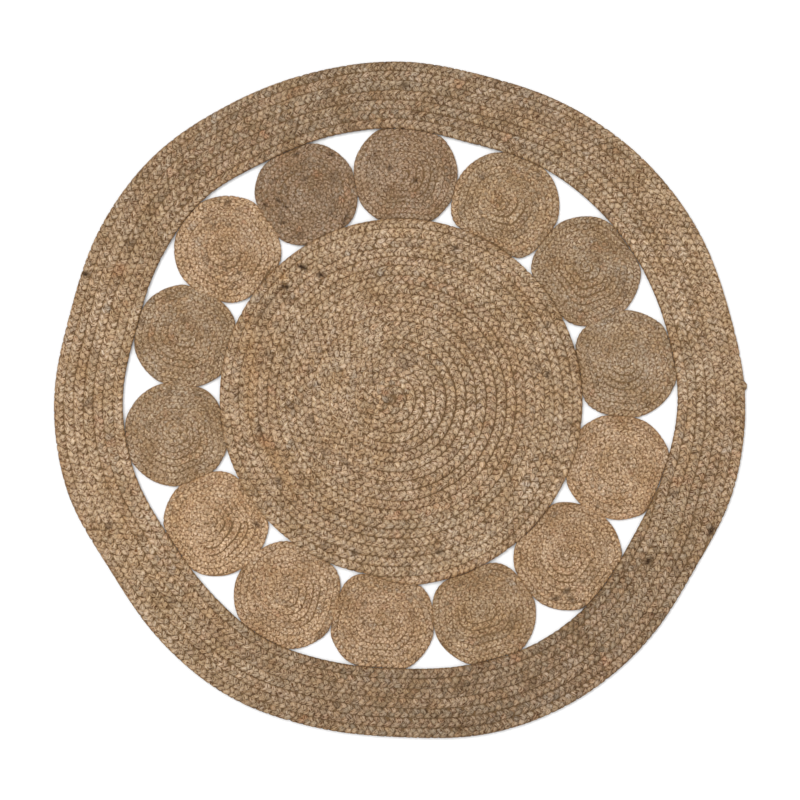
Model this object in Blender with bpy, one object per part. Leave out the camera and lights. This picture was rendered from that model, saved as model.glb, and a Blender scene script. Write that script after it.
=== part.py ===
"""A round rug of plaited jute that lies flat on the floor.

A border band of seven plait rows holds a ring of fourteen coiled medallions, and these hold a coiled
centre mat. All are sewn edge to edge, and the open gaps between the round edges go right through.
Each row of plait is a rounded rib in the top face. The underside is flat.

Units are metres and +Z is up. The origin is on the floor under the middle of the rug's box.
"""

import math
from collections import namedtuple

import bmesh
import bpy
from mathutils import Vector

MM = 0.001

# Thickness and sewing
COARSE_THICKNESS = 10.5 * MM  # the border's and the centre mat's plait
FINE_THICKNESS = 8.0 * MM  # the medallions' thinner plait
GROOVE_SHARE = 0.78  # a seam's level between two rows, as a share of the thickness
EDGE_LEVEL = 4.5 * MM  # where a rounded edge is widest
EDGE_TUCK = 1.5 * MM  # how far the edge draws in at the floor
SEWN_GAP = 0.3 * MM  # between two pieces that are sewn together
CHORD_ROOM = 0.35 * MM  # added where straight facets meet along a curve

# Rows of plait, and straight facets round each piece
BORDER_ROWS = 7
CENTRE_ROWS = 19
MEDALLION_ROWS = 8
BORDER_FACETS = 96
CENTRE_FACETS = 60
MEDALLION_FACETS = 24
HALVE_INSIDE = 0.5  # rings inside this share of a mat's radius have half as many facets

# The centre mat's outline is a spiral that steps out by one row where the plait ends
CENTRE_OUTER_RADIUS = 326 * MM
CENTRE_STEP = 16.5 * MM
CENTRE_END_DEG = 258
CENTRE_END_TAPER_DEG = 18
CENTRE_MIDDLE = Vector((-2.5 * MM, 1.6 * MM))

# The border's inner and outer radius about the rug's centre, as uneven as hand work is
Section = namedtuple("Section", "angle_deg inner_mm outer_mm")
BORDER_SECTIONS = [
    Section(0, 487, 605),
    Section(15, 484, 598),
    Section(30, 484, 602),
    Section(45, 483, 601),
    Section(60, 479, 596),
    Section(75, 469, 589),
    Section(90, 478, 595),
    Section(105, 480, 596),
    Section(120, 482, 600),
    Section(135, 494, 609),
    Section(150, 488, 607),
    Section(165, 480, 599),
    Section(180, 487, 607),
    Section(195, 483, 605),
    Section(210, 471, 589),
    Section(225, 473, 595),
    Section(240, 480, 599),
    Section(255, 473, 592),
    Section(270, 470, 590),
    Section(285, 479, 604),
    Section(300, 488, 609),
    Section(315, 485, 605),
    Section(330, 473, 595),
    Section(345, 479, 605),
]

# Each medallion's place about the rug's centre, its free radius and its shade of jute
Medallion = namedtuple("Medallion", "angle_deg distance_mm radius_mm shade")
MEDALLIONS = [
    Medallion(88.7, 396, 92, "grey"),
    Medallion(61.7, 389, 95, "tan"),
    Medallion(34.9, 398, 96, "tan"),
    Medallion(9.2, 399, 95, "tan"),
    Medallion(343.1, 399, 93, "straw"),
    Medallion(317.1, 401, 95, "straw"),
    Medallion(291.4, 401, 92, "tan"),
    Medallion(265.3, 388, 93, "straw"),
    Medallion(240.0, 394, 95, "straw"),
    Medallion(213.7, 389, 92, "straw"),
    Medallion(188.4, 397, 92, "tan"),
    Medallion(163.4, 394, 91, "tan"),
    Medallion(138.7, 403, 94, "straw"),
    Medallion(114.4, 398, 91, "grey"),
]

# Linear colours of the jute
SHADES = {
    "tan": (0.33, 0.22, 0.13),
    "straw": (0.39, 0.26, 0.15),
    "grey": (0.27, 0.185, 0.115),
}
JUTE_ROUGHNESS = 0.9


def clear_scene():
    for item in list(bpy.data.objects):
        bpy.data.objects.remove(item)


def direction(angle):
    return Vector((math.cos(angle), math.sin(angle)))


def smooth_step(share):
    share = min(max(share, 0), 1)
    return share * share * (3 - 2 * share)


# Outlines. Each is a closed list of points in plan, counter-clockwise.


def section_radius(angle, column):
    """A column of the border's table at any angle, by a smooth closed curve through its sections."""
    count = len(BORDER_SECTIONS)
    place = (angle / math.tau % 1) * count
    first = int(place)
    share = place - first
    a, b, c, d = (getattr(BORDER_SECTIONS[(first + k) % count], column) for k in (-1, 0, 1, 2))
    cubic = b + share / 2 * (c - a + share * (2 * a - 5 * b + 4 * c - d + share * (3 * (b - c) + d - a)))
    return cubic * MM


def centre_radius(angle):
    """The centre mat's outline: it closes in by one row in a turn, then steps back out."""
    turn = (angle - math.radians(CENTRE_END_DEG)) / math.tau % 1
    taper = CENTRE_END_TAPER_DEG / 360
    closing = (turn - taper) / (1 - taper)
    if turn < taper:
        closing = 1 - smooth_step(turn / taper)
    return CENTRE_OUTER_RADIUS - CENTRE_STEP * closing


def outline(facets, radius, middle=Vector((0, 0))):
    angles = [math.tau * k / facets for k in range(facets)]
    return [middle + direction(angle) * radius(angle) for angle in angles]


def middle_of(points):
    low = Vector((min(p.x for p in points), min(p.y for p in points)))
    high = Vector((max(p.x for p in points), max(p.y for p in points)))
    return (low + high) / 2


def moved(points, step):
    return [p + step for p in points]


def medallion_middle(row):
    return direction(math.radians(row.angle_deg)) * row.distance_mm * MM


def seam(first, second):
    """The line where two round neighbours press together: a point on it and the way across."""
    start, end = medallion_middle(first), medallion_middle(second)
    apart = (end - start).length
    across = (end - start) / apart
    radii = first.radius_mm * MM, second.radius_mm * MM
    share = (apart**2 + radii[0] ** 2 - radii[1] ** 2) / (2 * apart)
    return start + across * share, across


def is_free(point, seams):
    """Whether a medallion may reach this point without entering a neighbour, the border or the centre."""
    room = SEWN_GAP + CHORD_ROOM
    angle = math.atan2(point.y, point.x)
    if point.length > section_radius(angle, "inner_mm") - room:
        return False
    inward = point - CENTRE_MIDDLE
    if inward.length < centre_radius(math.atan2(inward.y, inward.x)) + room:
        return False
    return all((point - on_line).dot(across) < -SEWN_GAP / 2 for on_line, across in seams)


def medallion_outline(index):
    """A circle, pressed flat where it meets its neighbours, the border and the centre mat."""
    row = MEDALLIONS[index]
    neighbours = MEDALLIONS[index - 1], MEDALLIONS[(index + 1) % len(MEDALLIONS)]
    seams = [seam(row, other) for other in neighbours]
    middle = medallion_middle(row)

    def reach(angle):
        low, high = 0, row.radius_mm * MM
        if is_free(middle + direction(angle) * high, seams):
            return high
        for _ in range(24):
            tried = (low + high) / 2
            if is_free(middle + direction(angle) * tried, seams):
                low = tried
            else:
                high = tried
        return low

    return outline(MEDALLION_FACETS, reach, middle)


# Solids


def ring_of(bm, points, height):
    return [bm.verts.new((p.x, p.y, height)) for p in points]


def join(bm, outer, inner):
    """Faces between two closed rings. The inner one may have half as many points."""
    step = len(outer) // len(inner)
    for k, near in enumerate(inner):
        after = inner[(k + 1) % len(inner)]
        corners = [outer[(k * step + n) % len(outer)] for n in range(step + 1)]
        if step == 1:
            bm.faces.new((corners[0], corners[1], after, near))
        else:
            bm.faces.new((corners[0], corners[1], near))
            bm.faces.new((corners[1], after, near))
            bm.faces.new((corners[1], corners[2], after))


def rib_levels(rows, thickness):
    """Heights across the rows from edge to edge: the rounded edge, then crest and groove in turn."""
    inner = [thickness if k % 2 else thickness * GROOVE_SHARE for k in range(1, 2 * rows)]
    return [EDGE_LEVEL, *inner, EDGE_LEVEL]


def mat_mesh(points, middle, rows, thickness):
    """A coiled mat: rings of plait inside its outline, and a flat underside."""
    bm = bmesh.new()
    size = sum((p - middle).length for p in points) / len(points)
    floor = ring_of(bm, [middle + (p - middle) * (1 - EDGE_TUCK / size) for p in points], 0)
    levels = rib_levels(rows, thickness)
    rings = []
    for k in range(2 * rows):
        share = 1 - k / (2 * rows)
        kept = points[::2] if share < HALVE_INSIDE else points
        rings.append(ring_of(bm, [middle + (p - middle) * share for p in kept], levels[k]))
    join(bm, floor, rings[0])
    for outer, inner in zip(rings, rings[1:]):
        join(bm, outer, inner)
    top = bm.verts.new((middle.x, middle.y, thickness * GROOVE_SHARE))
    for k, vertex in enumerate(rings[-1]):
        bm.faces.new((vertex, rings[-1][(k + 1) % len(rings[-1])], top))
    under = bm.verts.new((middle.x, middle.y, 0))
    for k, vertex in enumerate(floor):
        bm.faces.new((floor[(k + 1) % len(floor)], vertex, under))
    return bm


def band_mesh(inner, outer, rows, thickness):
    """A ring-shaped band: rows of plait side by side between two outlines, and a flat underside."""
    bm = bmesh.new()
    tuck = EDGE_TUCK / (BORDER_SECTIONS[0].outer_mm - BORDER_SECTIONS[0].inner_mm) / MM
    levels = rib_levels(rows, thickness)
    shares = [k / (2 * rows) for k in range(2 * rows + 1)]
    profile = [(tuck, 0), *zip(shares, levels), (1 - tuck, 0)]
    rings = []
    for share, height in profile:
        points = [a.lerp(b, share) for a, b in zip(inner, outer)]
        rings.append(ring_of(bm, points, height))
    for first, second in zip(rings, rings[1:]):
        join(bm, second, first)
    join(bm, rings[0], rings[-1])
    return bm


def jute(name, shade):
    material = bpy.data.materials.new(name + "_jute")
    material.use_nodes = True
    shader = material.node_tree.nodes["Principled BSDF"]
    shader.inputs["Base Color"].default_value = (*SHADES[shade], 1)
    shader.inputs["Roughness"].default_value = JUTE_ROUGHNESS
    shader.inputs["Metallic"].default_value = 0
    material.diffuse_color = (*SHADES[shade], 1)
    return material


def add_piece(name, bm, shade):
    mesh = bpy.data.meshes.new(name)
    bm.to_mesh(mesh)
    bm.free()
    mesh.shade_smooth()
    mesh.materials.append(jute(name, shade))
    piece = bpy.data.objects.new(name, mesh)
    bpy.context.scene.collection.objects.link(piece)
    return piece


def main():
    clear_scene()
    border_inner = outline(BORDER_FACETS, lambda angle: section_radius(angle, "inner_mm"))
    border_outer = outline(BORDER_FACETS, lambda angle: section_radius(angle, "outer_mm"))
    shift = -middle_of(border_outer)

    band = band_mesh(moved(border_inner, shift), moved(border_outer, shift), BORDER_ROWS, COARSE_THICKNESS)
    add_piece("border_band", band, "tan")

    centre = outline(CENTRE_FACETS, centre_radius, CENTRE_MIDDLE)
    mat = mat_mesh(moved(centre, shift), CENTRE_MIDDLE + shift, CENTRE_ROWS, COARSE_THICKNESS)
    add_piece("centre_mat", mat, "tan")

    for index, row in enumerate(MEDALLIONS):
        points = moved(medallion_outline(index), shift)
        disc = mat_mesh(points, medallion_middle(row) + shift, MEDALLION_ROWS, FINE_THICKNESS)
        add_piece(f"medallion_{index + 1:02d}", disc, row.shade)


main()
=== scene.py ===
"""Looks of the round jute rug.

The rug is three-strand jute plait, wound flat and sewn edge to edge: a border band of seven rows, a ring
of medallions in a finer plait, and a centre mat. Each plait here has its three real strands, which cross
over and under each other along the coil. Units are metres and +Z is up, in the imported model's frame.
"""

import math
from collections import namedtuple

import bpy
import numpy as np
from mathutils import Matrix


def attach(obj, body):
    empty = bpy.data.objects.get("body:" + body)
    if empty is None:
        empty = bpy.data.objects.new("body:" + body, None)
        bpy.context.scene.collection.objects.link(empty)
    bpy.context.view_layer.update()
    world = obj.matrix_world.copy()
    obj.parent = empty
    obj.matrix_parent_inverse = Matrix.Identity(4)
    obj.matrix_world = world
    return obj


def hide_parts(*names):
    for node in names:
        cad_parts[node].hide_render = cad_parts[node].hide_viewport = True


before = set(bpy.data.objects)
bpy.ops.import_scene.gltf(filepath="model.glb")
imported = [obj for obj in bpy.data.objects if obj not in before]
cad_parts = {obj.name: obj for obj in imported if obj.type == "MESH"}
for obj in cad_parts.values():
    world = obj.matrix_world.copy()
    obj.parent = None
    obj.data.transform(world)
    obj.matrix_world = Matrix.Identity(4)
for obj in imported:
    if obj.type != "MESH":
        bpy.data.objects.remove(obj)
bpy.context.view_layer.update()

MM = 0.001

# The camera looks straight down, and the rug lies a little off the middle of its view
CAMERA_PLACE = (0.7 * MM, -0.4 * MM, 5.0)
SENSOR_WIDTH = 36  # millimetres, as Blender gives it
VIEW_WIDTH = 1.4055  # on the floor

# A white floor in soft studio light: an even surround, and a broad key light from the upper left
FLOOR_HALF = 12
FLOOR_FINISH = {"Base Color": (0.98, 0.98, 0.98, 1), "Roughness": 0.9}
SURROUND_STRENGTH = 0.85
KEY_STRENGTH = 1.4
KEY_SPREAD = math.radians(35)
KEY_PLACE = (-1.0, 1.1, 3.6)

# Rows and size, as in the solids
BORDER_ROWS = 7
CENTRE_ROWS = 19
MEDALLION_ROWS = 8
MEDALLIONS = 14
EDGE_LEVEL = 4.5 * MM  # where the solids' rounded edges are widest
LEVEL_ROOM = 0.3 * MM  # how near to that level an edge's points lie
TOP_ABOVE_EDGE = 1 * MM  # all points of a solid's top are more than this above its edge

# In its end zone a plait's outer end tapers in, and the rows inside it shift by one. The plait begins a
# lead after the zone's start, and winds on past its rows by its extra turns, to fill the middle or close
# the ring. Angles are about a mat's middle, counter-clockwise.
EndZone = namedtuple("EndZone", "start_deg length_deg lead_deg extra_turns")
BORDER_END = EndZone(330, 14, 2, 10 / 360)
CENTRE_END = EndZone(258, 18, 2, 0.6)
FIRST_MEDALLION_END = EndZone(100, 60, 4, 0.1)
NEXT_END_DEG = 137  # from one medallion's end to the next one's
COIL_STEP = math.radians(0.5)
CENTRE_EYE = (-13 * MM, 4.5 * MM)  # where the innermost turn lies, from the middle of the mat's outline
EYE_REACH = 0.75  # the rows inside this share of a mat's radius lie about its eye

# Sizes of plait. A strand swings out to both sides of its row once in each period, and twice it comes up
# over the others and goes down again, about its middle level. off_beat is how far its crossings stray, in
# radians. The relief gives the strength of the painted shade in its creases and seams and the painted
# highlight along its crests. ring_deg gives the phases in each half period where it has a ring of points,
# and sides is how many points a ring has.
Plait = namedtuple(
    "Plait",
    "pitch period swing rise half_width half_height middle off_beat relief ring_deg sides",
)
COARSE = Plait(
    pitch=16.9 * MM,
    period=36 * MM,
    swing=7.3 * MM,
    rise=2.7 * MM,
    half_width=4.8 * MM,
    half_height=2.1 * MM,
    middle=5.4 * MM,
    off_beat=0.32,
    relief=1,
    ring_deg=(0, 45, 90, 112.5, 135, 157.5),
    sides=7,
)
CENTRE = COARSE._replace(pitch=16.5 * MM, period=37 * MM)
FINE = Plait(
    pitch=11.5 * MM,
    period=24 * MM,
    swing=4.9 * MM,
    rise=1.5 * MM,
    half_width=3.3 * MM,
    half_height=1.45 * MM,
    middle=4.0 * MM,
    off_beat=0.34,
    relief=0.55,
    ring_deg=(0, 45, 90, 135),
    sides=5,
)
STRANDS = 3
SEED = 7
ZIGZAG = 0.08  # how straight a strand goes from one side of its row to the other: 0 is an even wave
TILT = math.radians(5)  # the side of a row that faces outward lies a little higher
ROLL = math.radians(10)  # how far a lobe tips down towards the seam beside it
BOXINESS = 0.5  # a strand is pressed flatter on top than round: 1 is round
PLUMP = 0.15  # how much fuller a strand is where it lies on top
THICKER = 0.05  # and how much thicker
NARROWEST, WIDEST = 0.12, 1.2  # how far a plait follows its row's width, in shares of its pitch
NARROWING = 0.7  # the power of that width with which its strands get thinner
END_TAPER = 14 * MM
END_SECTION = 0.25  # what is left of a strand's section at its very end
ROW_OVERLAP = 0.8 * MM  # how far loose rows lie over each other
LOWEST = 0.05 * MM  # above the floor
TWIST_LENGTH = 85 * MM  # one turn of the fibres about their strand
GRAIN_START = 50  # each strand's grain starts somewhere in this length
LOOSE_LOBE = np.array((603, 24)) * MM  # one lobe stands out from the border's edge
LOOSE_REACH = 7 * MM
LOOSE_OUT = 5 * MM

# What varies along hand-made plait: by about how much to either side, and in what length
Drift = namedtuple("Drift", "amount spacing")
DRIFT_SPREAD = 0.6  # of the waves' turns, so that most lie between -1 and 1
SPARE_TURNS = 5  # more than a plait's length needs
PACE = (Drift(0.08, 90 * MM), Drift(0.15, 22 * MM))  # how close the crossings are
SWAY = Drift(0.45 * MM, 70 * MM)  # the plait's place in its row
SEAM_WANDER = Drift(0.9 * MM, 24 * MM)
TIGHTNESS = Drift(0.6, 160 * MM)  # from 0, where rows lie loose, to 1, where they are pressed together
MEAN_TIGHTNESS = 0.55
OFF_BEAT_SPACING = 16 * MM
UNEVEN_SWING = Drift(0.13, 13 * MM)
UNEVEN_RISE = Drift(0.12, 14 * MM)
UNEVEN_GIRTH = Drift(0.16, 14 * MM)
LIGHTNESS = (Drift(0.10, 150 * MM), Drift(0.16, 11 * MM))
REDNESS = (Drift(0.16, 150 * MM), Drift(0.09, 16 * MM))
MEAN_REDNESS = 0.10
GREYNESS = (Drift(0.16, 120 * MM), Drift(0.08, 16 * MM))
MOST_TINT = 0.6

# Painted light and shade across a plait: painted shade where little light reaches between its strands
# and rows, and a painted highlight along its crests. Each is a share.
# Darker is redder: in the painted shade this stands for warm light bounced between the fibres, and the
# fibre noise's own darker shades are redder too
DEPTH_HUE = np.array((0.7, 1.0, 1.55))  # a shade's power in each channel, so that darker is redder
LOW_DARK = 0.25  # painted shade low in the rug
LOW_SLOPE, LOW_START = 1.6, 0.35  # how that fades out with height, up to 84% of the plait's height
FLANK_DARK, FLANK_POWER = 1.0, 4  # painted shade down a strand's sides
CREST_HIGHLIGHT, CREST_POWER = 0.25, 6  # a painted highlight along its crest
END_DARK, END_LIFT = 0.95, 0.8  # painted shade where it comes up and goes down, till its lift is this above its lowest
PRESSED_DARK = 0.45  # painted shade along a tight seam
SEAM_REACH = 1.1 * MM
EDGE_DARK = 0.33  # painted shade along a mat's edge, where the outermost fibres turn down to the floor
EDGE_REACH = 2.2 * MM

# The ground: the jute between and under the lobes, where the rows are pressed and sewn together. Its dark
# colour is painted shade between the lobes
GROUND_INSET = 1.2 * MM
GROUND_BOTTOM = 2.2 * MM
COARSE_GROUND_TOP = 7.0 * MM
FINE_GROUND_TOP = 5.0 * MM
SHORTEST_SIDE = 1 * MM  # of its outlines

# Linear colours
JUTE = {"tan": (0.331, 0.214, 0.106), "straw": (0.388, 0.25, 0.129), "grey": (0.292, 0.193, 0.106)}
RUST = (0.40, 0.20, 0.09)
ASH = (0.31, 0.24, 0.155)
BURNT = (0.11, 0.057, 0.022)
KNOT = (0.045, 0.018, 0.003)
GOLD = (0.42, 0.235, 0.09)
# the ground's jute, darkened to paint the shade between the lobes
GROUND_PAINTED_SHADE_COLOUR = (0.17, 0.1, 0.045)

# Noise in the jute's colour: its stretch along three axes, its detail, and the darkest and lightest shade
# that it gives, which it reaches at its start and end values
Noise = namedtuple("Noise", "stretch detail darkest lightest start end", defaults=(0.3, 0.7))
FIBRES = Noise((1100, 1100, 70), 3, 0.7, 1.3)
COARSE_BUNDLES = Noise((560, 560, 340), 2, 0.14, 1.2, 0.34, 0.54)
FINE_BUNDLES = COARSE_BUNDLES._replace(stretch=(700, 700, 300))
PATCHES = Noise((24, 24, 24), 3, 0.82, 1.18)
GROUND_FIBRES = Noise((900, 900, 900), 3, 0.6, 1.4)
FIBRE_ROUGHNESS = (0.84, 0.66)  # of the darkest and the lightest
BUNDLE_BUMP = (0.7, 0.5 * MM)  # strength and depth
FIBRE_BUMP = (0.6, 0.2 * MM)
JUTE_FINISH = {"Specular IOR Level": 0.2, "Sheen Weight": 0.05, "Sheen Roughness": 0.5}
GROUND_FINISH = {"Specular IOR Level": 0.1, "Roughness": 1}

# A mat's look: its shade of jute and how light it is, how many flecks there are in a metre of plait, how
# much of the fibre is greyer, its waves, and where its innermost turn lies from the middle of its outline.
# Waves are painted light and shade: slow changes of lightness round a mat, as its rows turn to and from
# the light. They give how many in a turn, their share, and where they are lightest.
Wave = namedtuple("Wave", "count share angle_deg")
Look = namedtuple("Look", "shade lightness flecks ash waves eye_mm", defaults=(0, (), (0, 0)))
BORDER_LOOK = Look("tan", 1.015, 2.0, waves=(Wave(1, 0.086, 139), Wave(2, 0.2, 15)))
CENTRE_LOOK = Look("tan", 1.17, 2.0)
MEDALLION_LOOKS = [
    Look("grey", 1.15, 6, eye_mm=(-5, 3)),
    Look("tan", 1.25, 4, ash=0.12, eye_mm=(-4, 9)),
    Look("tan", 1.21, 11, ash=0.28, eye_mm=(1, 9)),
    Look("tan", 1.23, 6, ash=0.28, eye_mm=(0, 5)),
    Look("straw", 1.22, 3, eye_mm=(-1, 2)),
    Look("straw", 1.17, 3, eye_mm=(-1, 5)),
    Look("tan", 1.15, 4, eye_mm=(0, 8)),
    Look("straw", 1.16, 6, eye_mm=(-2, 3)),
    Look("straw", 1.2, 5, eye_mm=(-4, 2)),
    Look("straw", 1.37, 2, eye_mm=(-9, 5)),
    Look("tan", 1.24, 4, ash=0.22, eye_mm=(-3, 2)),
    Look("tan", 1.23, 11, ash=0.25, eye_mm=(2, 3)),
    Look("straw", 1.24, 6, eye_mm=(-2, 4)),
    Look("grey", 1.04, 18, eye_mm=(3, -2)),
]

# Flecks are short stretches of fibre in another colour. share is how many of them are of a kind.
FleckKind = namedtuple("FleckKind", "colour strength share")
FLECK_KINDS = [FleckKind(BURNT, 0.75, 0.35), FleckKind(RUST, 0.7, 0.35), FleckKind(ASH, 0.7, 0.3)]
FLECK_REACH_MM = (3, 8)
FLECK_STRENGTHS = (0.4, 1)
FLECK_SPAN = 3  # reaches to either side, where a fleck has faded out
FLECK_BELOW = 0.3  # how far below its middle level a strand still shows them
SPOT_POWER = 4  # a spot keeps its strength inside and fades at its rim

# Knots, stains and cut ends that stand out, by their place in the rug
Spot = namedtuple("Spot", "x_mm y_mm long_mm wide_mm angle_deg colour strength")
SPOTS = [
    Spot(9, 551, 8, 6, 0, KNOT, 0.7),
    Spot(436, -283, 9, 6, 25, KNOT, 1),
    Spot(-551, 221, 8, 5, 10, KNOT, 1),
    Spot(322, -366, 10, 6, 60, KNOT, 0.6),
    Spot(546, -230, 9, 6, 60, KNOT, 1),
    Spot(-302, 346, 8, 5, 45, KNOT, 0.7),
    Spot(-171, 233, 9, 5, -15, KNOT, 1),
    Spot(-138, 219, 8, 5, -10, KNOT, 1),
    Spot(-200, 198, 9, 5.5, -10, KNOT, 1),
    Spot(-204, 215, 7, 7, 0, GOLD, 0.8),
    Spot(-230, 170, 40, 6, 55, KNOT, 0.35),
    Spot(97, 267, 7, 5, 0, KNOT, 0.7),
    Spot(259, 131, 7, 5, 60, KNOT, 0.8),
    Spot(259, 44, 7, 5, 90, KNOT, 0.8),
    Spot(69, -267, 8, 5, 0, KNOT, 0.8),
    Spot(-80, -269, 8, 5, 0, KNOT, 0.75),
    Spot(-251, -218, 8, 5, 135, KNOT, 0.7),
    Spot(28, 385, 6, 4.5, 60, KNOT, 1),
    Spot(-18, 408, 7, 4, 75, KNOT, 0.7),
    Spot(273, -349, 8, 5, 0, KNOT, 0.8),
    Spot(293, -336, 8, 5, 30, KNOT, 0.8),
    Spot(301, -351, 8, 5, -20, KNOT, 0.7),
    Spot(-14, 4, 18, 13, -30, KNOT, 0.3),
    Spot(-26, 12, 8, 5, 0, RUST, 0.7),
    Spot(1, 3, 7, 5, 60, RUST, 0.8),
    Spot(-491, 228, 16, 12, 30, RUST, 0.5),
    Spot(-262, 40, 95, 13, 90, GOLD, 0.5),
    Spot(-214, -115, 70, 12, 118, GOLD, 0.5),
    Spot(-287, 14, 12, 8, 90, KNOT, 0.3),
    Spot(-245, -53, 14, 6, 108, KNOT, 0.65),
    Spot(-240, -70, 12, 8, 110, RUST, 0.5),
    Spot(-212, -141, 9, 6, 120, KNOT, 0.65),
    Spot(-103, -101, 9, 6, 130, KNOT, 0.5),
    Spot(-92, -113, 8, 5, 130, KNOT, 0.5),
    Spot(-48, 33, 8, 4, 30, KNOT, 0.5),
    Spot(-182, 430, 6, 3.5, 20, KNOT, 0.8),
    Spot(-120, 431, 7, 4, -20, KNOT, 0.8),
    Spot(-235, 342, 6, 4, -60, KNOT, 0.9),
    Spot(-212, 349, 7, 3.5, -30, KNOT, 0.9),
    Spot(-200, 339, 6, 3.5, -30, KNOT, 0.8),
    Spot(-166, 388, 7, 3, 40, KNOT, 0.7),
    Spot(-223, 382, 8, 3, 50, KNOT, 0.7),
    Spot(-206, 311, 8, 3.5, -5, KNOT, 0.9),
    Spot(-95, 318, 12, 3, 60, KNOT, 0.8),
    Spot(-300, 308, 7, 3, -10, KNOT, 0.7),
    Spot(-324, 308, 6, 3, 30, KNOT, 0.6),
    Spot(-282, 222, 6, 3, 10, KNOT, 0.7),
    Spot(-305, 228, 6, 3, 150, KNOT, 0.6),
]

# The map for baking lays a strand's skin out in columns, with a margin at their sides and ends
RING_ASPECT = 0.2  # a ring's length over the way round the strand
COLUMN_MARGIN = 0.06
ROW_MARGIN = 0.002
CAP_PLACE = 0.0005  # the caps all lie in the map's corner


def smooth_step(share):
    share = np.clip(share, 0, 1)
    return share * share * (3 - 2 * share)


def unit(vectors):
    return vectors / np.linalg.norm(vectors, axis=-1, keepdims=True)


def near(distance, power=2):
    """1 at no distance, about a third at 1, and almost 0 at 2. A higher power falls more suddenly."""
    return np.exp(-(distance**power))


def random_wave(rng, along, spacing):
    """A smooth random wave along a plait, mostly from -1 to 1, that turns about once in each spacing."""
    turns = rng.normal(0, DRIFT_SPREAD, int(along[-1] / spacing) + SPARE_TURNS)
    place = along / spacing + 1
    first = place.astype(int)
    share = smooth_step(place - first)
    return turns[first] * (1 - share) + turns[first + 1] * share


def drifting(rng, along, mean, *drifts):
    """A value that drifts about its mean along a plait."""
    value = mean
    for drift in drifts:
        value = value + drift.amount * random_wave(rng, along, drift.spacing)
    return value


# What the solids say about each mat's outline


def medallion_name(index):
    return f"medallion_{index + 1:02d}"


def node_points(name):
    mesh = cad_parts[name].data
    points = np.empty(3 * len(mesh.vertices))
    mesh.vertices.foreach_get("co", points)
    return points.reshape(-1, 3)


def edge_points(name):
    """A node's points in plan at the level where its rounded edge is widest."""
    points = node_points(name)
    return points[np.abs(points[:, 2] - EDGE_LEVEL) < LEVEL_ROOM][:, :2]


def border_edges():
    """The points of the border's inner edge and of its outer edge."""
    points = edge_points("border_band")
    radii = np.linalg.norm(points, axis=1)
    split = (radii.min() + radii.max()) / 2
    return points[radii < split], points[radii > split]


def mat_middle(name):
    """The middle of a coiled mat is the point of its top where the most triangles meet."""
    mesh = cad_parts[name].data
    corners = np.empty(len(mesh.loops), dtype=np.int32)
    mesh.loops.foreach_get("vertex_index", corners)
    points = node_points(name)[corners]  # each point once for every triangle that it is in
    top = points[points[:, 2] > EDGE_LEVEL + TOP_ABOVE_EDGE]
    places, counts = np.unique(np.round(top, 5), axis=0, return_counts=True)
    return places[np.argmax(counts)][:2]


def closed_curve(points, middle):
    """The radius about a middle at any angle, by a smooth closed curve through these points."""
    offsets = points - middle
    angles = np.arctan2(offsets[:, 1], offsets[:, 0]) % math.tau
    angles, kept = np.unique(np.round(angles, 4), return_index=True)  # each angle once
    radii = np.linalg.norm(offsets[kept], axis=1)
    angles = np.concatenate([angles[-2:] - math.tau, angles, angles[:3] + math.tau])
    radii = np.concatenate([radii[-2:], radii, radii[:3]])
    slopes = np.gradient(radii, angles)

    def radius(angle):
        turned = angle % math.tau
        k = np.clip(np.searchsorted(angles, turned) - 1, 0, len(angles) - 2)
        width = angles[k + 1] - angles[k]
        t = (turned - angles[k]) / width
        ends = radii[k] * (2 * t**3 - 3 * t**2 + 1) + radii[k + 1] * (3 * t**2 - 2 * t**3)
        leans = slopes[k] * (t**3 - 2 * t**2 + t) + slopes[k + 1] * (t**3 - t**2)
        return ends + leans * width

    return radius


# Coils. Each is the middle line of a plait that winds inward and counter-clockwise.

Coil = namedtuple("Coil", "points normals along width angles open_inside")


def wind(middle, outer_side, end_zone, rows, eye=(0, 0), open_inside=False):
    """Winds a plait. outer_side gives the radius of its outer side at an unwound angle: one turn on,
    the next row begins there. The inner rows lie about the eye, which is off the middle."""
    start = math.radians(end_zone.start_deg + end_zone.lead_deg)
    angles = np.arange(start, start + (rows + end_zone.extra_turns) * math.tau, COIL_STEP)
    outer, inner = outer_side(angles), outer_side(angles + math.tau)
    out = np.stack([np.cos(angles), np.sin(angles)], axis=1)
    radii = ((outer + inner) / 2)[:, None]
    points = middle + out * radii + np.array(eye) * (1 - smooth_step(radii / EYE_REACH / outer[0]))
    steps = np.gradient(points, axis=0)
    normals = unit(np.stack([steps[:, 1], -steps[:, 0]], axis=1))
    along = np.concatenate([[0], np.cumsum(np.linalg.norm(np.diff(points, axis=0), axis=1))])
    return Coil(points, normals, along, outer - inner, angles, open_inside)


def row_side(inner_radius, outer_radius, rows, end_zone):
    """The outer side of a plait in a mat whose rows run level, and shift by one row in the end zone."""

    def outer_side(angles):
        turns = (angles - math.radians(end_zone.start_deg)) / math.tau
        whole = np.floor(turns + 1e-6)  # a hair more, so that a full turn isn't missed by rounding
        part = smooth_step((turns - whole) * 360 / end_zone.length_deg)
        lane = np.clip(rows + 1 - whole - part, 0, rows)
        inner, outer = inner_radius(angles), outer_radius(angles)
        return inner + (outer - inner) * lane / rows

    return outer_side


def border_coil():
    middle = np.zeros(2)
    inner, outer = (closed_curve(points, middle) for points in border_edges())
    side = row_side(inner, outer, BORDER_ROWS, BORDER_END)
    return wind(middle, side, BORDER_END, BORDER_ROWS, open_inside=True)


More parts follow.
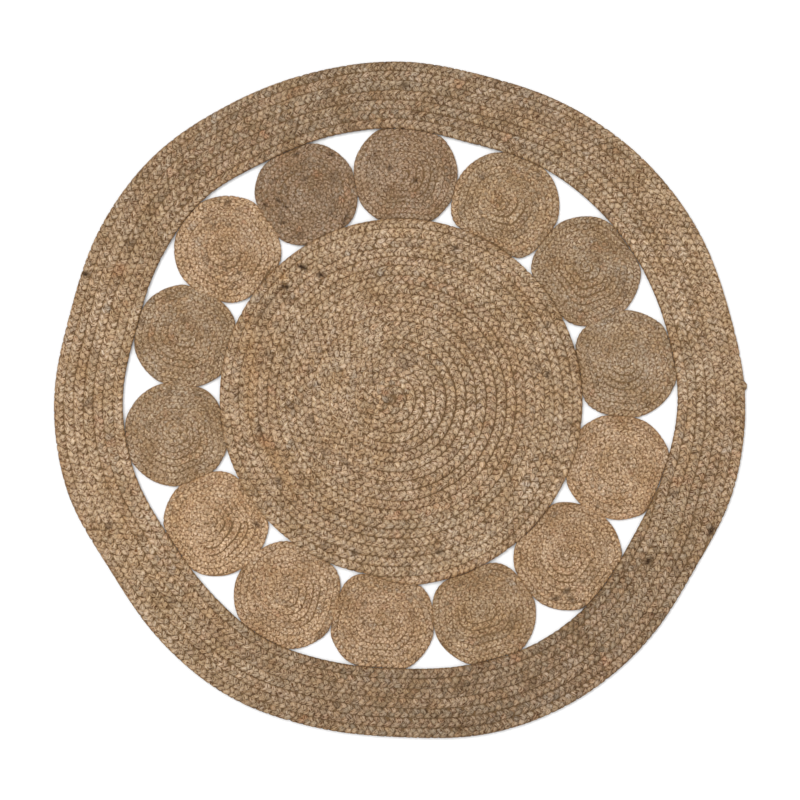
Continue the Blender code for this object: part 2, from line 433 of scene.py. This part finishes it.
def centre_coil():
    """The centre mat's plait winds in evenly, and its outer end tapers against the row inside it."""
    middle = mat_middle("centre_mat")
    edge = closed_curve(edge_points("centre_mat"), middle)
    settled = math.radians(CENTRE_END.start_deg + CENTRE_END.length_deg)
    largest = edge(np.array([settled]))[0]

    def outer_side(angles):
        spiral = largest - CENTRE.pitch * (angles - settled) / math.tau
        return np.maximum(np.where(angles < settled, edge(angles), spiral), 0)

    return wind(middle, outer_side, CENTRE_END, CENTRE_ROWS, CENTRE_EYE)


def medallion_coil(index):
    name = medallion_name(index)
    middle = mat_middle(name)
    edge = closed_curve(edge_points(name), middle)
    start = FIRST_MEDALLION_END.start_deg + NEXT_END_DEG * index % 360
    end_zone = FIRST_MEDALLION_END._replace(start_deg=start)
    side = row_side(lambda angles: np.zeros(len(angles)), edge, MEDALLION_ROWS, end_zone)
    eye = np.array(MEDALLION_LOOKS[index].eye_mm) * MM
    return wind(middle, side, end_zone, MEDALLION_ROWS, eye)


# Strands

# What the three strands of a plait share
Plaiting = namedtuple("Plaiting", "coil plait look sway seams tightness flecks")

# A strand's course, for each of its rings: its phase, how far along the coil it is, its plait's size as a
# share, half its row's width, how far out the seams beside the row have strayed and how tight they are,
# the way out, how far out the strand lies, its lift, from -1 at its lowest to 1, and the ring's centre.
Course = namedtuple(
    "Course",
    "phases along size half_row outer_seam inner_seam tight normals across lift centres",
)

Strand = namedtuple("Strand", "points grain tone")


def at(along, coil, values):
    """A coil's values, or its points or normals, at places along it."""
    if values.ndim == 1:
        return np.interp(along, coil.along, values)
    return np.stack([np.interp(along, coil.along, column) for column in values.T], axis=1)


def seam_offsets(coil, rng):
    """How far out the seams on a row's outer and inner side have strayed. A mat's edge stays in place."""
    outer = drifting(rng, coil.along, 0, SEAM_WANDER)
    outer[coil.angles < coil.angles[0] + math.tau] = 0
    inner = np.interp(coil.angles + math.tau, coil.angles, outer, right=0)
    return np.stack([outer, inner], axis=1)


def ring_phases(first, last, ring_deg):
    """The phases at which a strand has a ring of points."""
    base = np.radians(ring_deg)
    halves = np.arange(math.floor(first / math.pi), math.ceil(last / math.pi) + 1)
    phases = (halves[:, None] * math.pi + base).ravel()
    return phases[(phases >= first) & (phases <= last)]


def strands_of(coil, plait, look, rng):
    """The three strands of a plait along a coil."""
    rate = drifting(rng, coil.along, 1, *PACE)
    phase = np.concatenate([[0], np.cumsum(rate[1:] * np.diff(coil.along))]) * math.tau / plait.period
    sway = drifting(rng, coil.along, 0, SWAY)
    seams = seam_offsets(coil, rng)
    tightness = np.clip(drifting(rng, coil.along, MEAN_TIGHTNESS, TIGHTNESS), 0, 1)
    flecks = fleck_places(coil, look, rng)
    plaiting = Plaiting(coil, plait, look, sway, seams, tightness, flecks)
    strands = []
    for number in range(STRANDS):
        even = phase + math.tau * number / STRANDS
        own = drifting(rng, coil.along, even, Drift(plait.off_beat, OFF_BEAT_SPACING))
        own = np.maximum.accumulate(own)
        phases = ring_phases(own[0], own[-1], plait.ring_deg)
        along = np.interp(phases, own, coil.along)
        strands.append(strand(plaiting, phases, along, rng))
    return strands


def strand(plaiting, phases, along, rng):
    """One strand: a soft tube that swings from side to side and rises over the others."""
    plait = plaiting.plait
    course = strand_course(plaiting, phases, along, rng)
    around = math.tau * np.arange(plait.sides) / plait.sides + math.pi / 2
    offsets = ring_offsets(course, plait, around, rng)
    points, sideways = pressed(course, offsets)
    grain = strand_grain(along, plait, around, rng)
    tone = strand_tone(plaiting, course, rng)
    shade = strand_shade(plaiting, course, points, sideways, around)
    # the stored tone is the fibre's colour times its painted shade and highlights
    return Strand(points, grain, spotted(points, tone[:, None] * shade[..., None] ** DEPTH_HUE))


def strand_course(plaiting, phases, along, rng):
    """Where a strand lies in its row."""
    coil, plait = plaiting.coil, plaiting.plait
    share = at(along, coil, coil.width) / plait.pitch
    size = np.clip(share, NARROWEST, WIDEST)
    wave = (np.sin(phases) - ZIGZAG * np.sin(3 * phases)) / (1 + ZIGZAG)
    across = plait.swing * size * wave * drifting(rng, along, 1, UNEVEN_SWING)
    lift = -np.sin(2 * phases)
    level = plait.middle + plait.rise * lift * np.minimum(size, 1) * drifting(rng, along, 1, UNEVEN_RISE)
    level += across * math.sin(TILT)
    across += at(along, coil, plaiting.sway)
    normals = at(along, coil, coil.normals)
    centres = np.empty((len(along), 3))
    centres[:, :2] = at(along, coil, coil.points) + normals * across[:, None]
    centres[:, 2] = level
    half_row = (share * plait.pitch / 2)[:, None]
    outer_seam, inner_seam = at(along, coil, plaiting.seams).T[..., None]
    tight = at(along, coil, plaiting.tightness)[:, None]
    return Course(
        phases, along, size, half_row, outer_seam, inner_seam, tight, normals, across, lift, centres
    )


def ring_offsets(course, plait, around, rng):
    """Each ring's points from its centre. A lobe rolls down towards the seam beside it."""
    ahead = unit(np.gradient(course.centres, axis=0))
    side = unit(np.cross(ahead, (0, 0, 1)))
    up = np.cross(side, ahead)
    roll = -ROLL * np.sin(course.phases) * course.lift
    cos, sin = np.cos(roll)[:, None], np.sin(roll)[:, None]
    side, up = side * cos + up * sin, up * cos - side * sin

    along, size = course.along, course.size
    ends = np.clip(np.minimum(along, along[-1] - along) / END_TAPER, END_SECTION, 1) ** 0.5
    plump = drifting(rng, along, 1 + PLUMP * course.lift, UNEVEN_GIRTH)
    half_width = plait.half_width * size**NARROWING * plump * ends
    half_height = plait.half_height * np.minimum(size, 1) ** NARROWING * (1 + THICKER * course.lift) * ends
    wide, high = (np.sign(edge) * np.abs(edge) ** BOXINESS for edge in (np.cos(around), np.sin(around)))
    offsets = side[:, None] * (half_width[:, None] * wide)[..., None]
    return offsets + up[:, None] * (half_height[:, None] * high)[..., None]


def pressed(course, offsets):
    """A strand's points, pressed in between the floor and the seams beside its row, and how far out in
    the row each lies. The loose lobe stands out past the edge."""
    way_out = course.normals[:, None]
    points = course.centres[:, None] + offsets
    points[..., 2] = np.maximum(points[..., 2], LOWEST)
    free = course.across[:, None] + (offsets[..., :2] * way_out).sum(axis=2)
    room = course.half_row + ROW_OVERLAP / 2 * (1 - course.tight)
    sideways = np.clip(free, course.inner_seam - room, course.outer_seam + room)
    points[..., :2] += way_out * (sideways - free)[..., None]
    from_loose = np.linalg.norm(points[..., :2] - LOOSE_LOBE, axis=2)
    pushed = LOOSE_OUT * near(from_loose / LOOSE_REACH, SPOT_POWER)
    points[..., :2] += way_out * pushed[..., None]
    return points, sideways


def strand_grain(along, plait, around, rng):
    """Coordinates for the fibres' noise: round the strand, twisted with it, and along it."""
    twisted = around + (along * math.tau / TWIST_LENGTH)[:, None]
    lengthwise = along[:, None] + rng.uniform(0, GRAIN_START)
    return np.stack(
        [
            plait.half_width * np.cos(twisted),
            plait.half_width * np.sin(twisted),
            np.broadcast_to(lengthwise, twisted.shape),
        ],
        axis=-1,
    )


# Light and colour along a strand


def strand_shade(plaiting, course, points, sideways, around):
    """Painted light at each point: painted shade down the creases and along the seams, a painted highlight
    along the crest.
    """
    coil, plait = plaiting.coil, plaiting.plait
    height = np.clip(points[..., 2] / (2 * plait.middle), 0, 1)
    shade = 1 - LOW_DARK + LOW_DARK * smooth_step(height * LOW_SLOPE - LOW_START)
    facing_up = np.maximum(np.sin(around), 0)
    shade *= 1 - plait.relief * FLANK_DARK * (1 - facing_up) ** FLANK_POWER
    # a painted highlight along the crest
    shade *= 1 + plait.relief * CREST_HIGHLIGHT * facing_up**CREST_POWER
    shade *= (1 - plait.relief * END_DARK * (1 - smooth_step((course.lift + 1) / END_LIFT)))[:, None]

    half_row = course.half_row
    to_seam = np.minimum(half_row + course.outer_seam - sideways, sideways + half_row - course.inner_seam)
    shade *= 1 - plait.relief * PRESSED_DARK * course.tight * near(to_seam / SEAM_REACH)
    angles = at(course.along, coil, coil.angles)
    outermost = (angles < coil.angles[0] + math.tau)[:, None]
    innermost = (coil.open_inside * (angles > coil.angles[-1] - math.tau))[:, None]
    for on_edge, to_edge in ((outermost, half_row - sideways), (innermost, sideways + half_row)):
        shade *= 1 - EDGE_DARK * on_edge * near(to_edge / EDGE_REACH)
    return shade


def strand_tone(plaiting, course, rng):
    """The colour of the fibre along a strand, with the painted light and shade of its mat's waves."""
    coil, look, along = plaiting.coil, plaiting.look, course.along
    light = drifting(rng, along, 1, *LIGHTNESS)
    angles = at(along, coil, coil.angles)
    # painted light and shade round the mat, as its rows turn to and from the light
    for wave in look.waves:
        light += wave.share * np.cos(wave.count * (angles - math.radians(wave.angle_deg)))
    tone = np.array(JUTE[look.shade]) * look.lightness * light[:, None]
    tone = tinted(tone, RUST, drifting(rng, along, MEAN_REDNESS, *REDNESS))
    tone = tinted(tone, ASH, drifting(rng, along, look.ash, *GREYNESS))
    for fleck in plaiting.flecks:
        reach = FLECK_SPAN * fleck.reach
        span = slice(*np.searchsorted(along, (fleck.along - reach, fleck.along + reach)))
        fade = near((along[span] - fleck.along) / fleck.reach) * fleck.strength
        fade = (fade * np.clip(FLECK_BELOW + course.lift[span], 0, 1))[:, None]
        tone[span] = tone[span] * (1 - fade) + np.array(fleck.colour) * fade
    return tone


def tinted(tone, tint, share):
    """A tone moved towards a tint by a share."""
    return tone + (np.array(tint) - tone) * np.clip(share, 0, MOST_TINT)[:, None]


Fleck = namedtuple("Fleck", "along reach colour strength")


def fleck_places(coil, look, rng):
    """As many flecks in each metre of plait as the look says."""
    count = rng.poisson(look.flecks * coil.along[-1])
    shares = [kind.share for kind in FLECK_KINDS]
    flecks = []
    for place in rng.uniform(0, coil.along[-1], count):
        kind = FLECK_KINDS[rng.choice(len(FLECK_KINDS), p=shares)]
        reach = rng.uniform(*FLECK_REACH_MM) * MM
        flecks.append(Fleck(place, reach, kind.colour, kind.strength * rng.uniform(*FLECK_STRENGTHS)))
    return flecks


def spotted(points, tone):
    """Adds the spots to the colours of a strand's points."""
    for spot in SPOTS:
        offset = points[..., :2] / MM - (spot.x_mm, spot.y_mm)
        turn = math.radians(spot.angle_deg)
        lengthwise = offset @ (math.cos(turn), math.sin(turn)) / spot.long_mm
        crosswise = offset @ (-math.sin(turn), math.cos(turn)) / spot.wide_mm
        fade = (spot.strength * near(np.hypot(lengthwise, crosswise), SPOT_POWER))[..., None]
        tone = tone * (1 - fade) + np.array(spot.colour) * fade
    return tone


# Meshes


def tube_faces(rings, sides):
    """Quads along a tube."""
    ring = np.arange(rings - 1)[:, None] * sides
    k = np.arange(sides)
    after = (k + 1) % sides
    quads = [ring + k, ring + sides + k, ring + sides + after, ring + after]
    return np.stack(quads, axis=-1).reshape(-1, 4)


def bake_map(lengths, sides):
    """The corners of each quad of a tube this many quads long, in the map for baking."""
    columns = max(1, round(math.sqrt(lengths * RING_ASPECT)))
    per_column = math.ceil(lengths / columns)
    ring = np.arange(lengths)[:, None]
    column, place = ring // per_column, ring % per_column
    k = np.arange(sides)
    wide, long = 1 - 2 * COLUMN_MARGIN, 1 - 2 * ROW_MARGIN
    left = (column + COLUMN_MARGIN + wide * k / sides) / columns
    right = (column + COLUMN_MARGIN + wide * (k + 1) / sides) / columns
    low = ROW_MARGIN + long * place / per_column + 0 * k
    high = ROW_MARGIN + long * (place + 1) / per_column + 0 * k
    corners = [(left, low), (left, high), (right, high), (right, low)]
    return np.stack([np.stack(pair, axis=-1) for pair in corners], axis=2).reshape(-1, 2)


def strand_mesh(name, strands):
    """One mesh of whole strands, with their colour and painted shade, their grain and a map for baking."""
    quads, caps = [], []
    first = 0
    for item in strands:
        rings, sides = item.points.shape[:2]
        quads.append(tube_faces(rings, sides) + first)
        start = first + np.arange(sides)
        caps += [start, start[::-1] + (rings - 1) * sides]
        first += rings * sides
    quads = np.concatenate(quads)
    corners = np.concatenate([quads.ravel(), *caps]).astype(np.int32)
    sizes = np.concatenate([np.full(len(quads), 4), np.full(len(caps), sides)])
    starts = np.concatenate([[0], np.cumsum(sizes)[:-1]]).astype(np.int32)
    points, grain, tone = (joined(strands, field) for field in Strand._fields)

    mesh = bpy.data.meshes.new(name)
    mesh.vertices.add(len(points))
    mesh.vertices.foreach_set("co", points.ravel())
    mesh.loops.add(len(corners))
    mesh.loops.foreach_set("vertex_index", corners)
    mesh.polygons.add(len(sizes))
    mesh.polygons.foreach_set("loop_start", starts)
    mesh.update(calc_edges=True)
    mesh.shade_smooth()
    store(mesh, "grain", "FLOAT_VECTOR", "vector", grain)
    # the tone holds the colour with its painted shade and highlights
    store(mesh, "tone", "FLOAT_COLOR", "color", np.hstack([tone, np.ones((len(tone), 1))]))
    flat = bake_map(len(quads) // sides, sides)
    flat = np.concatenate([flat, np.full((len(corners) - len(flat), 2), CAP_PLACE)])
    mesh.uv_layers.new(name="OFBake").data.foreach_set("uv", flat.ravel().astype(np.float32))
    return mesh


def joined(strands, field):
    """One field of all strands, as a list of points or colours."""
    return np.concatenate([getattr(item, field).reshape(-1, 3) for item in strands])


def store(mesh, name, kind, field, values):
    layer = mesh.attributes.new(name, kind, "POINT")
    layer.data.foreach_set(field, values.ravel().astype(np.float32))


def add_piece(mesh, slot, material, *nodes):
    piece = bpy.data.objects.new(mesh.name, mesh)
    bpy.context.scene.collection.objects.link(piece)
    mesh.materials.append(material)
    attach(piece, "root")
    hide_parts(*nodes)
    return piece


# Ground


def slab(rings, bottom, top):
    """A closed slab between one or two outlines in plan. With one, it is a disc about its middle."""
    count = len(rings[0])
    points = [(x, y, level) for ring in rings for level in (bottom, top) for x, y in ring]
    k = np.arange(count)
    after = (k + 1) % count
    low, high = k, k + count
    low_after, high_after = after, after + count
    faces = list(zip(low, low_after, high_after, high))
    if len(rings) == 2:
        inner_low, inner_high = (side + 2 * count for side in (low, high))
        inner_low_after, inner_high_after = (side + 2 * count for side in (low_after, high_after))
        faces += zip(inner_low, inner_high, inner_high_after, inner_low_after)
        faces += zip(high, high_after, inner_high_after, inner_high)
        faces += zip(low, inner_low, inner_low_after, low_after)
    else:
        middle = np.mean(rings[0], axis=0)
        points += [(*middle, bottom), (*middle, top)]
        faces += [(a, 2 * count, b) for a, b in zip(low_after, low)]
        faces += [(a, 2 * count + 1, b) for a, b in zip(high, high_after)]
    return points, faces


def inset(points, middle, step):
    """An outline's points in order, moved towards the middle by a step."""
    offsets = points - middle
    order = np.argsort(np.arctan2(offsets[:, 1], offsets[:, 0]))
    radii = np.linalg.norm(offsets, axis=1)
    moved = middle + offsets * ((radii - step) / radii)[:, None]
    kept = [moved[order[0]]]
    for k in order[1:]:
        if np.linalg.norm(moved[k] - kept[-1]) > SHORTEST_SIDE:
            kept.append(moved[k])
    return np.array(kept)


def plan_area(ring):
    x, y = ring.T
    return abs(np.dot(x, np.roll(y, 1)) - np.dot(y, np.roll(x, 1))) / 2


def ground_mesh():
    """The ground of the whole rug, and its area in plan."""
    inner, outer = border_edges()
    outer = inset(outer, np.zeros(2), GROUND_INSET)
    inner = inset(inner, np.zeros(2), -GROUND_INSET)
    shells = [slab([outer, inner], GROUND_BOTTOM, COARSE_GROUND_TOP)]
    area = plan_area(outer) - plan_area(inner)
    mats = [("centre_mat", COARSE_GROUND_TOP)]
    mats += [(medallion_name(k), FINE_GROUND_TOP) for k in range(MEDALLIONS)]
    for name, top in mats:
        ring = inset(edge_points(name), mat_middle(name), GROUND_INSET)
        shells.append(slab([ring], GROUND_BOTTOM, top))
        area += plan_area(ring)
    vertices, faces = [], []
    for shell_points, shell_faces in shells:
        faces += [[int(k) + len(vertices) for k in face] for face in shell_faces]
        vertices += shell_points
    mesh = bpy.data.meshes.new("jute_ground_painted_shade")
    mesh.from_pydata(vertices, [], faces)
    mesh.update()
    return mesh, area


# Materials


def new_material(name, finish):
    """A material, its node tree and its shader, with the finish set on the shader's own sockets."""
    material = bpy.data.materials.new(name)
    material.use_nodes = True
    shader = material.node_tree.nodes["Principled BSDF"]
    for socket, value in finish.items():
        shader.inputs[socket].default_value = value
    return material, material.node_tree, shader


def attribute(tree, name):
    node = tree.nodes.new("ShaderNodeAttribute")
    node.attribute_name = name
    return node


def multiplied(tree, first, second):
    """Two vectors multiplied. The second may be a socket or three plain numbers."""
    node = tree.nodes.new("ShaderNodeVectorMath")
    node.operation = "MULTIPLY"
    tree.links.new(first, node.inputs[0])
    if isinstance(second, tuple):
        node.inputs[1].default_value = second
    else:
        tree.links.new(second, node.inputs[1])
    return node.outputs[0]


def noise_over(tree, vector, noise):
    node = tree.nodes.new("ShaderNodeTexNoise")
    node.inputs["Scale"].default_value = 1
    node.inputs["Detail"].default_value = noise.detail
    tree.links.new(multiplied(tree, vector, noise.stretch), node.inputs["Vector"])
    return node.outputs["Fac"]


def shades(tree, value, noise, colour=1):
    """Maps a noise to darker and lighter shades of a colour."""
    node = tree.nodes.new("ShaderNodeMapRange")
    node.data_type = "FLOAT_VECTOR"
    dark, light = noise.darkest**DEPTH_HUE * colour, noise.lightest**DEPTH_HUE * colour
    sockets = [socket for socket in node.inputs if socket.identifier.endswith("FLOAT3")]
    for socket, limit in zip(sockets, ((noise.start,) * 3, (noise.end,) * 3, dark, light)):
        socket.default_value = limit
    tree.links.new(value, node.inputs["Vector"])
    return node.outputs["Vector"]


def mapped(tree, value, noise, limits):
    """Maps a noise to a range of plain numbers."""
    node = tree.nodes.new("ShaderNodeMapRange")
    node.inputs["From Min"].default_value = noise.start
    node.inputs["From Max"].default_value = noise.end
    node.inputs["To Min"].default_value, node.inputs["To Max"].default_value = limits
    tree.links.new(value, node.inputs["Value"])
    return node.outputs["Result"]


def bump(tree, height, strength, depth):
    node = tree.nodes.new("ShaderNodeBump")
    node.inputs["Strength"].default_value = strength
    node.inputs["Distance"].default_value = depth
    tree.links.new(height, node.inputs["Height"])
    return node


def jute_material(name, bundle_noise):
    """Jute strand: its colour and painted shade along the plait, with fine fibres that run with the
    strand.
    """
    material, tree, shader = new_material(name, JUTE_FINISH)
    grain = attribute(tree, "grain").outputs["Vector"]
    place = tree.nodes.new("ShaderNodeTexCoord").outputs["Object"]
    fibres = noise_over(tree, grain, FIBRES)
    bundles = noise_over(tree, grain, bundle_noise)
    patches = noise_over(tree, place, PATCHES)
    # the fibre's colour with its painted shade and highlights
    colour = attribute(tree, "tone").outputs["Color"]
    for value, noise in ((fibres, FIBRES), (bundles, bundle_noise), (patches, PATCHES)):
        colour = multiplied(tree, colour, shades(tree, value, noise))
    tree.links.new(colour, shader.inputs["Base Color"])
    tree.links.new(mapped(tree, fibres, FIBRES, FIBRE_ROUGHNESS), shader.inputs["Roughness"])
    broad = bump(tree, bundles, *BUNDLE_BUMP)
    fine = bump(tree, fibres, *FIBRE_BUMP)
    tree.links.new(broad.outputs["Normal"], fine.inputs["Normal"])
    tree.links.new(fine.outputs["Normal"], shader.inputs["Normal"])
    return material


def ground_material():
    """The ground's jute: short fibres that lie every way, in a dark brown that is painted shade between
    the lobes.
    """
    material, tree, shader = new_material("jute_ground_painted_shade", GROUND_FINISH)
    place = tree.nodes.new("ShaderNodeTexCoord").outputs["Object"]
    fibres = noise_over(tree, place, GROUND_FIBRES)
    colour = shades(tree, fibres, GROUND_FIBRES, np.array(GROUND_PAINTED_SHADE_COLOUR))
    tree.links.new(colour, shader.inputs["Base Color"])
    return material


# The pieces


def build():
    coarse = jute_material("jute_coarse", COARSE_BUNDLES)
    fine = jute_material("jute_fine", FINE_BUNDLES)
    rng = np.random.default_rng(SEED)

    border = strands_of(border_coil(), COARSE, BORDER_LOOK, rng)
    centre = strands_of(centre_coil(), CENTRE, CENTRE_LOOK, rng)
    for strands, node in ((border, "border_band"), (centre, "centre_mat")):
        for number, item in enumerate(strands):
            mesh = strand_mesh(f"{node}_strand_{number + 1}", [item])
            add_piece(mesh, "jute_tan", coarse, node)

    for index in range(MEDALLIONS):
        look = MEDALLION_LOOKS[index]
        strands = strands_of(medallion_coil(index), FINE, look, rng)
        name = medallion_name(index)
        mesh = strand_mesh(name + "_plait", strands)
        add_piece(mesh, "jute_" + look.shade, fine, name)

    mesh, area = ground_mesh()
    nodes = ["border_band", "centre_mat", *(medallion_name(k) for k in range(MEDALLIONS))]
    ground = add_piece(mesh, "jute_tan", ground_material(), *nodes)


# Floor, light and camera


def add_floor():
    mesh = bpy.data.meshes.new("floor")
    corners = [(x * FLOOR_HALF, y * FLOOR_HALF, 0) for x, y in ((-1, -1), (1, -1), (1, 1), (-1, 1))]
    mesh.from_pydata(corners, [], [(0, 1, 2, 3)])
    floor = bpy.data.objects.new("floor", mesh)
    bpy.context.scene.collection.objects.link(floor)
    mesh.materials.append(new_material("floor", FLOOR_FINISH)[0])


def add_light():
    world = bpy.data.worlds.new("studio")
    bpy.context.scene.world = world
    world.use_nodes = True
    background = world.node_tree.nodes["Background"]
    background.inputs["Color"].default_value = (1, 1, 1, 1)
    background.inputs["Strength"].default_value = SURROUND_STRENGTH
    lamp = bpy.data.lights.new("key", "SUN")
    lamp.angle = KEY_SPREAD
    lamp.energy = KEY_STRENGTH
    key = bpy.data.objects.new("key", lamp)
    key.location = KEY_PLACE
    key.rotation_euler = (-key.location).to_track_quat("-Z", "Y").to_euler()
    bpy.context.scene.collection.objects.link(key)


def add_camera():
    camera = bpy.data.cameras.new("camera")
    camera.sensor_width = SENSOR_WIDTH
    camera.lens = SENSOR_WIDTH * CAMERA_PLACE[2] / VIEW_WIDTH
    item = bpy.data.objects.new("camera", camera)
    item.location = CAMERA_PLACE
    bpy.context.scene.collection.objects.link(item)
    bpy.context.scene.camera = item


bpy.context.scene.view_settings.view_transform = "Standard"
add_camera()
add_light()
add_floor()
build()
